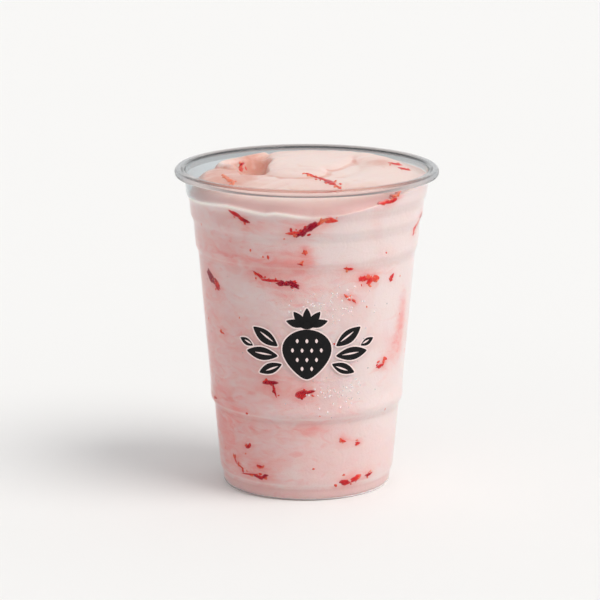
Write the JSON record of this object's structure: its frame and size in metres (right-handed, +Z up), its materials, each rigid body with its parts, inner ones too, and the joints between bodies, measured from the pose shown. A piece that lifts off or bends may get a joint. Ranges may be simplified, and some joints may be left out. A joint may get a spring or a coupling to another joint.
{
  "type": "strawberry milkshake",
  "caption": "Thick strawberry milkshake with heaped folds in a tapered clear plastic cup with a rolled rim, stiffening steps in the wall and a ring foot.",
  "frame": {"origin": "middle of the standing ring, on the surface that the cup stands on", "axes": "+Z up along the cup's axis, -Y the front, +X to the right seen from the front"},
  "size_m": [0.098, 0.098, 0.12],
  "materials": {
    "clear_plastic": "clear glossy thin plastic sheet",
    "milkshake": "smooth, faintly glossy pale pink dairy drink with red fruit pieces"
  },
  "bodies": {
    "root": {"cup": "clear_plastic", "milkshake": "milkshake"}
  },
  "joints": []
}
